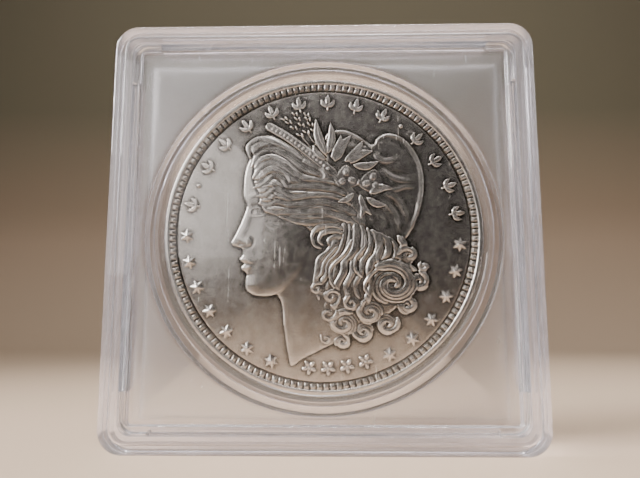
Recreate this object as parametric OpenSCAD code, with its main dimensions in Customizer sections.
// Square snap-together coin holder with its coin, standing on its lower edge.
// X runs to the right, Y to the back and Z up. The origin is under the middle of the holder.
// Depths are measured from the front of the border to the back.

/* [Holder] */
// Side of the square holder
holder_side = 50.8; // [50.2:0.1:54]
// Thickness of the closed holder
holder_thick = 6.35; // [6.3:0.05:8]
// Radius of the outer corners
corner_r = 2.8; // [2.6:0.1:4]
// Width of the raised border around each window
border_w = 3.25; // [3.1:0.05:3.4]
// Depth of each window below its border
window_recess = 0.9; // [0.5:0.05:0.95]
// Thickness of windows, border plates and the cover's skirt
wall = 1; // [0.9:0.05:1]
// Depth of the seam between cover and base on the outer edge
seam_depth = 3.4; // [3:0.05:3.8]

/* [Snap] */
// Thickness of the base's tongue, which enters the cover
tongue_w = 0.8; // [0.7:0.05:0.9]
// Radius of the tongue's inner corners
tongue_corner_r = 1.6; // [1:0.1:1.8]
// Thickness of the cover's ribs behind the tongue
rib_w = 0.5; // [0.4:0.05:0.7]
// Length of the ribs and beads along the top and bottom
rib_run_level = 40; // [20:1:40]
// Length of the ribs and beads along the two sides
rib_run_upright = 37; // [20:1:40]
// Height of the snap bead on the tongue
bead_h = 0.15; // [0.05:0.01:0.15]

/* [Coin seat] */
// Thickness of the base's inner ring, which holds the coin
seat_w = 0.95; // [0.8:0.05:1]
// Thickness of the cover's outer ring, around the base's
guard_w = 1.05; // [0.8:0.05:1.1]
// Size of the lead-in chamfer at the seat's mouth
seat_lead = 0.5; // [0.1:0.05:0.6]

/* [Coin] */
// Diameter of the coin
coin_d = 38.1; // [37:0.1:38.3]
// Thickness of the coin over its rims
coin_thick = 2.4; // [1.5:0.05:2.4]
// Width of the coin's raised rim
rim_w = 0.75; // [0.5:0.05:1.5]
// Depth of the coin's fields below the rims
field_depth = 0.35; // [0.1:0.01:0.4]
// Size of the bevel on the coin's outer corners
coin_bevel = 0.12; // [0.05:0.01:0.2]

/* [Gate mark] */
// How far the trimmed gate stands out of the cover's right edge
gate_h = 0.35; // [0.1:0.05:0.5]
// Length of the gate mark along the edge
gate_run = 1.3; // [0.5:0.1:2]
// Thickness of the gate mark
gate_thick = 0.9; // [0.5:0.1:1]
// Height of the gate mark above the lower edge
gate_z = 26.7; // [20:0.1:30]

/* [Fits] */
// Gap between walls that pass each other
pass_gap = 0.1; // [0.1:0.01:0.12]
// Gap around the coin in its seat
seat_gap = 0.15; // [0.1:0.01:0.2]
// Gap between the snap bead's crest and the cover's skirt
bead_gap = 0.05; // [0.03:0.01:0.08]
// Gap between cover and base at the seam
seam_gap = 0.05; // [0.03:0.01:0.08]
// Gap between the tongue's tip and the cover's border plate
tip_gap = 0.15; // [0.1:0.05:0.3]

/* [Hidden] */
$fn = 128;
eps = 0.01;

half = holder_side / 2;
mid_z = half;
front_y = -holder_thick / 2;

window_half = half - border_w;
cover_window_back = window_recess + wall;
base_window_front = holder_thick - cover_window_back;

skirt_half = half - wall;
tongue_half = skirt_half - bead_h - bead_gap;
tongue_corner_outer_r = corner_r - half + tongue_half;
tongue_inner_half = tongue_half - tongue_w;
rib_outer_half = tongue_inner_half - pass_gap;
rib_inner_half = rib_outer_half - rib_w;
rib_tip = base_window_front - pass_gap;
block_half = rib_outer_half - rib_w / 2;

coin_r = coin_d / 2;
coin_front = (holder_thick - coin_thick) / 2;
seat_r = coin_r + seat_gap;
seat_outer_r = seat_r + seat_w;
guard_r = seat_outer_r + pass_gap;
guard_outer_r = guard_r + guard_w;

bead_r = 0.3;
bead_depth = 2.2;
bead_axis_half = tongue_half + bead_h - bead_r;
groove_r = bead_r + 2 * pass_gap;

// A flat shape drawn in X and Z, made solid from one depth to another
module slab(from_depth, to_depth)
    translate([0, front_y + to_depth, mid_z])
        rotate([90, 0, 0])
            linear_extrude(to_depth - from_depth) children();

// A ring or disc about the coin's axis, from a profile of radius and depth
module turned()
    translate([0, front_y, mid_z])
        rotate([-90, 0, 0])
            rotate_extrude() children();

module rounded_square(half_side, r) {
    square([2 * half_side, 2 * (half_side - r)], center = true);
    square([2 * (half_side - r), 2 * half_side], center = true);
    for (x = [-1, 1], z = [-1, 1])
        translate([x * (half_side - r), z * (half_side - r)]) circle(r);
}

module frame_outline(outer_half, outer_r, inner_half, inner_r)
    difference() {
        rounded_square(outer_half, outer_r);
        rounded_square(inner_half, inner_r);
    }

// Four straight bars along the edges of the holder, each run long
module edge_bars(outer_half, inner_half) {
    w = outer_half - inner_half;
    mid = (outer_half + inner_half) / 2;
    for (side = [-1, 1]) {
        translate([0, side * mid]) square([rib_run_level, w], center = true);
        translate([side * mid, 0]) square([w, rib_run_upright], center = true);
    }
}

// Four round bars along the edges, at the depth of the snap bead
module edge_rods(r)
    for (side = [-1, 1]) {
        translate([0, front_y + bead_depth, mid_z + side * bead_axis_half])
            rotate([0, 90, 0])
                cylinder(h = rib_run_level, r = r, center = true);
        translate([side * bead_axis_half, front_y + bead_depth, mid_z])
            cylinder(h = rib_run_upright, r = r, center = true);
    }

// A plate stepped down to its square window; its own corners clear the tongue's
module window_block(from_depth, to_depth, recess_from, recess_to, outer_half)
    difference() {
        slab(from_depth, to_depth) rounded_square(outer_half, tongue_corner_r);
        slab(recess_from, recess_to) square(2 * window_half, center = true);
    }

module gate_mark()
    translate([half + gate_h / 2 - eps, front_y + seam_depth / 2, gate_z])
        cube([gate_h + 2 * eps, gate_thick, gate_run], center = true);

module front_shell()
    color([0.86, 0.86, 0.90, 0.35]) {
        difference() {
            union() {
                slab(0, wall)
                    difference() {
                        rounded_square(half, corner_r);
                        square(2 * window_half, center = true);
                    }
                slab(0, seam_depth)
                    frame_outline(half, corner_r, skirt_half, corner_r - wall);
            }
            edge_rods(groove_r);
        }
        window_block(0, cover_window_back, -eps, window_recess, block_half);
        slab(wall - eps, rib_tip) edge_bars(rib_outer_half, rib_inner_half);
        turned()
            translate([guard_r, cover_window_back - eps])
                square([guard_w, base_window_front - cover_window_back - pass_gap + eps]);
        gate_mark();
    }

module rear_shell()
    color([0.84, 0.84, 0.88, 0.35]) {
        slab(seam_depth + seam_gap, holder_thick)
            frame_outline(half, corner_r, tongue_inner_half, tongue_corner_r);
        slab(wall + tip_gap, seam_depth + seam_gap + eps)
            frame_outline(tongue_half, tongue_corner_outer_r, tongue_inner_half, tongue_corner_r);
        edge_rods(bead_r);
        window_block(base_window_front, holder_thick,
                     holder_thick - window_recess, holder_thick + eps, tongue_inner_half + eps);
        turned()
            polygon([
                [seat_r + seat_lead, cover_window_back + pass_gap],
                [seat_outer_r, cover_window_back + pass_gap],
                [seat_outer_r, base_window_front + eps],
                [seat_r, base_window_front + eps],
                [seat_r, cover_window_back + pass_gap + seat_lead]
            ]);
    }

module coin()
    color([0.62, 0.60, 0.56])
        turned()
            polygon([
                [0, coin_front + field_depth],
                [coin_r - rim_w, coin_front + field_depth],
                [coin_r - rim_w, coin_front],
                [coin_r - coin_bevel, coin_front],
                [coin_r, coin_front + coin_bevel],
                [coin_r, coin_front + coin_thick - coin_bevel],
                [coin_r - coin_bevel, coin_front + coin_thick],
                [coin_r - rim_w, coin_front + coin_thick],
                [coin_r - rim_w, coin_front + coin_thick - field_depth],
                [0, coin_front + coin_thick - field_depth]
            ]);

front_shell();
rear_shell();
coin();
